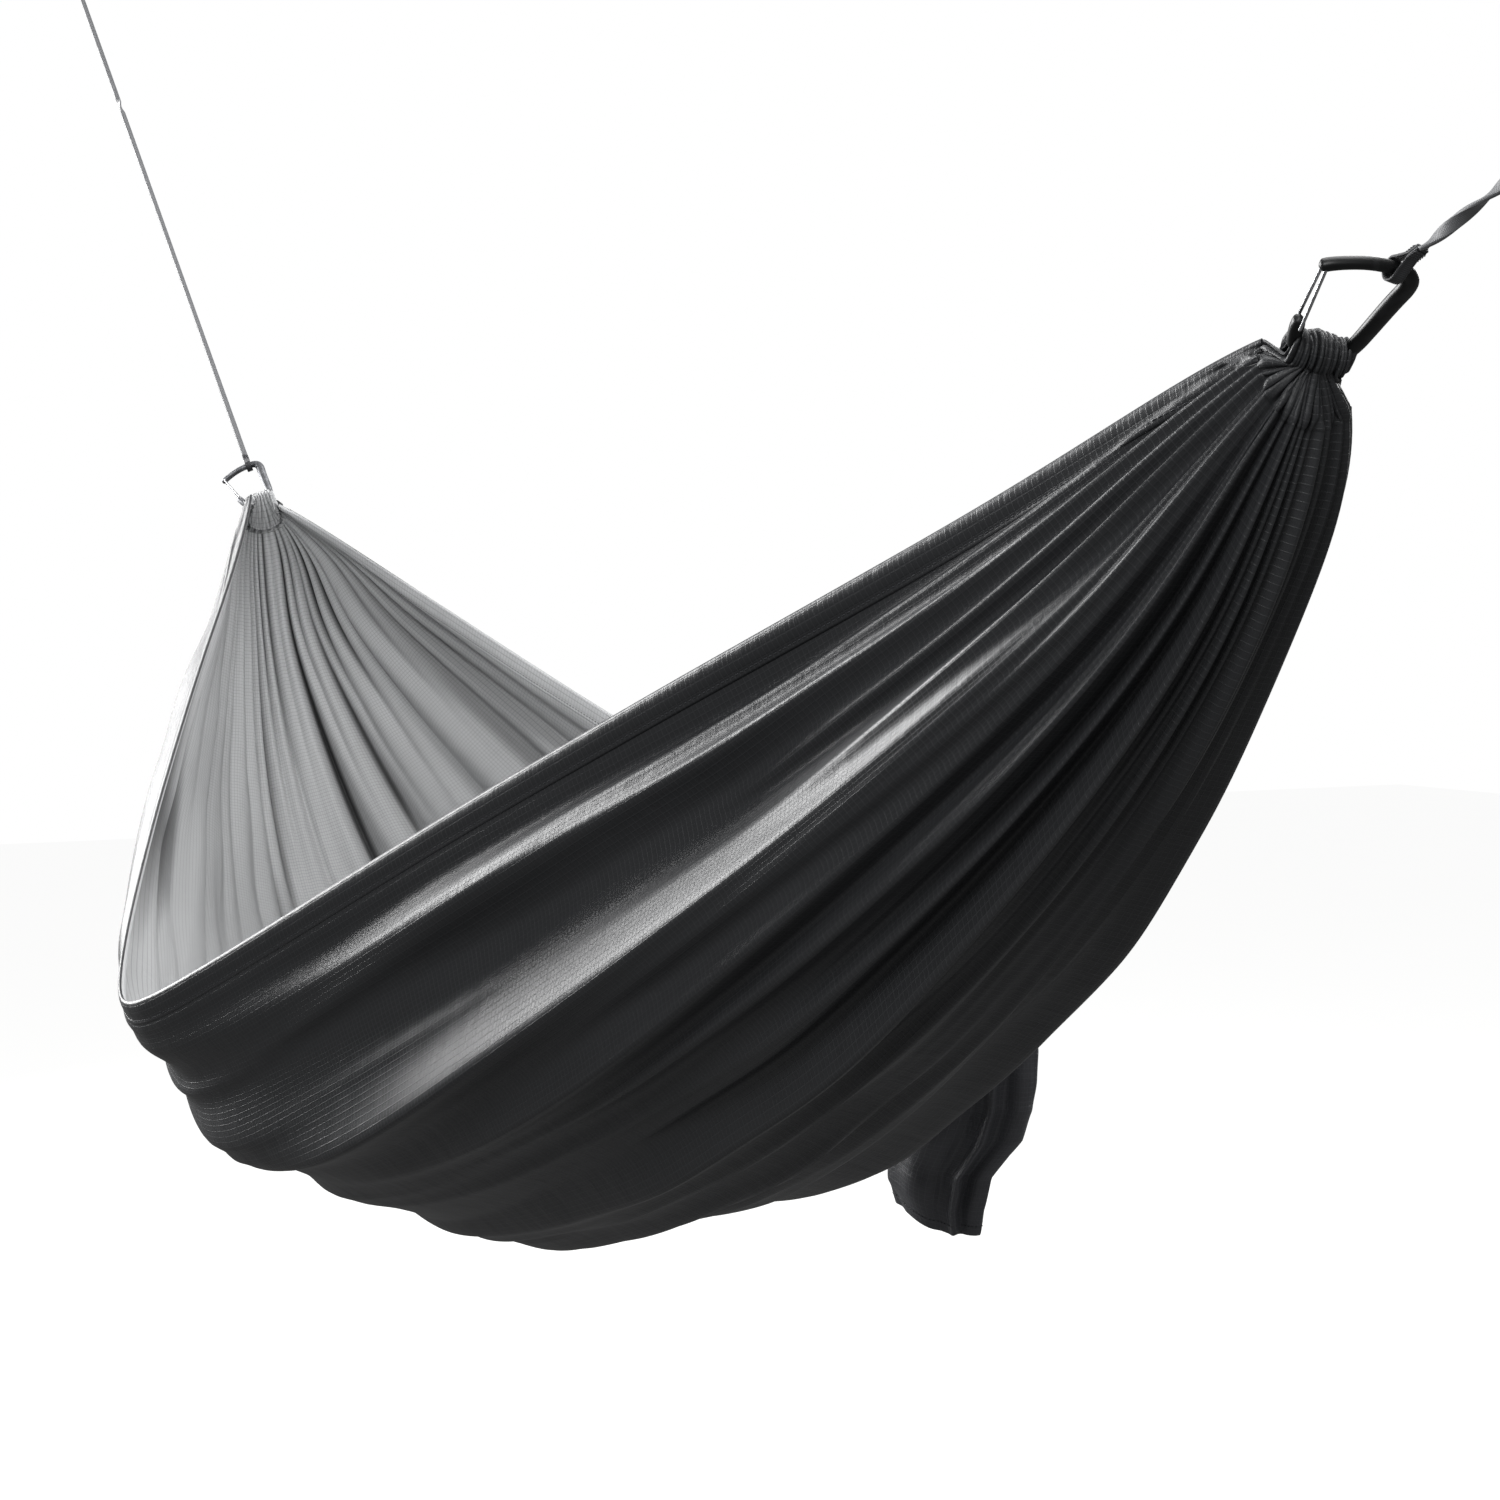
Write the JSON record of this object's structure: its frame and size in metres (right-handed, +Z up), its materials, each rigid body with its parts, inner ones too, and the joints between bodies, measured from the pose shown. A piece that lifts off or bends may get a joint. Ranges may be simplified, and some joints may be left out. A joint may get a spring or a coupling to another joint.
{
  "type": "camping hammock",
  "caption": "Gathered-end fabric camping hammock hung between two straps with wire-gate carabiners, rolled hems and a drawstring stuff sack on one edge.",
  "frame": {"origin": "where the head strap's end loop hangs on its anchor ring's wire", "axes": "+X from the foot end to the head end, +Z up, -Y the near (lower) long side, +Y the side with the sack"},
  "size_m": [3.2702, 0.9299, 1.6712],
  "materials": {
    "ripstop": "charcoal ripstop nylon, satin outside, paler grey inside",
    "sack_ripstop": "charcoal ripstop nylon, satin",
    "hem_tape": "the same cloth rolled and stitched",
    "ribbon": "black grosgrain ribbon",
    "webbing": "dark polyester webbing",
    "thread": "dense bartack stitching",
    "white_cord": "thin braided cord",
    "flecked_cord": "black braided cord with white flecks",
    "steel": "bright stainless wire",
    "black_anodised": "black anodised forged bar",
    "bare_aluminium": "tumbled bare forged bar"
  },
  "bodies": {
    "anchors": {"head_anchor_ring": "steel", "foot_anchor_ring": "steel"},
    "bed": {"bed_sheet": "ripstop", "near_hem": "hem_tape", "far_hem": "hem_tape", "hem_tab": "ribbon", "head_strap": "webbing", "head_clip_loop": "webbing", "head_clip_bartack": "thread", "head_anchor_loop": "webbing", "head_anchor_bartack": "thread", "foot_strap": "webbing", "foot_clip_loop": "webbing", "foot_clip_bartack": "thread", "foot_anchor_loop": "webbing", "foot_anchor_bartack": "thread"},
    "head_clip": {"head_carabiner": "black_anodised", "head_end_channel": "ripstop", "head_gather_cord": "white_cord"},
    "head_gate": {"head_gate": "steel"},
    "foot_clip": {"foot_carabiner": "bare_aluminium", "foot_end_channel": "ripstop", "foot_gather_cord": "white_cord"},
    "foot_gate": {"foot_gate": "steel"},
    "stuff_sack": {"sack_tab": "ribbon", "sack_body": "sack_ripstop", "sack_bottom": "sack_ripstop", "sack_mouth_channel": "sack_ripstop", "sack_drawcord": "flecked_cord", "sack_drawcord_left": "flecked_cord", "sack_drawcord_right": "flecked_cord", "sack_knot": "flecked_cord"}
  },
  "joints": [
    {"name": "bed_swing", "type": "hinge", "parent": "anchors", "child": "bed", "pos_m": [0, 0, 0], "axis": [0.9718, 0, -0.2358], "range_deg": [-25, 25]},
    {"name": "head_clip_twist", "type": "hinge", "parent": "bed", "child": "head_clip", "pos_m": [-0.1123, 0, -0.04767], "axis": [0.848, 0, 0.5299], "range_deg": [-12, 12]},
    {"name": "head_gate_hinge", "type": "hinge", "parent": "head_clip", "child": "head_gate", "pos_m": [-0.16206, -0.02154, -0.07148], "axis": [-0.5094, 0.2756, 0.8152], "range_deg": [0, 25], "stiffness_Nm_per_rad": 0.15, "springref_deg": -17.19},
    {"name": "foot_clip_twist", "type": "hinge", "parent": "bed", "child": "foot_clip", "pos_m": [-2.24273, 0, -0.03933], "axis": [-0.7314, 0, 0.682], "range_deg": [-12, 12]},
    {"name": "foot_gate_hinge", "type": "hinge", "parent": "foot_clip", "child": "foot_gate", "pos_m": [-2.20981, -0.01978, -0.0844], "axis": [-0.6022, 0.4695, -0.6457], "range_deg": [0, 25], "stiffness_Nm_per_rad": 0.15, "springref_deg": -17.19},
    {"name": "sack_swing", "type": "hinge", "parent": "bed", "child": "stuff_sack", "pos_m": [-1.24298, 0.45141, -0.52722], "axis": [1, 0, 0], "range_deg": [-12, 60]}
  ]
}
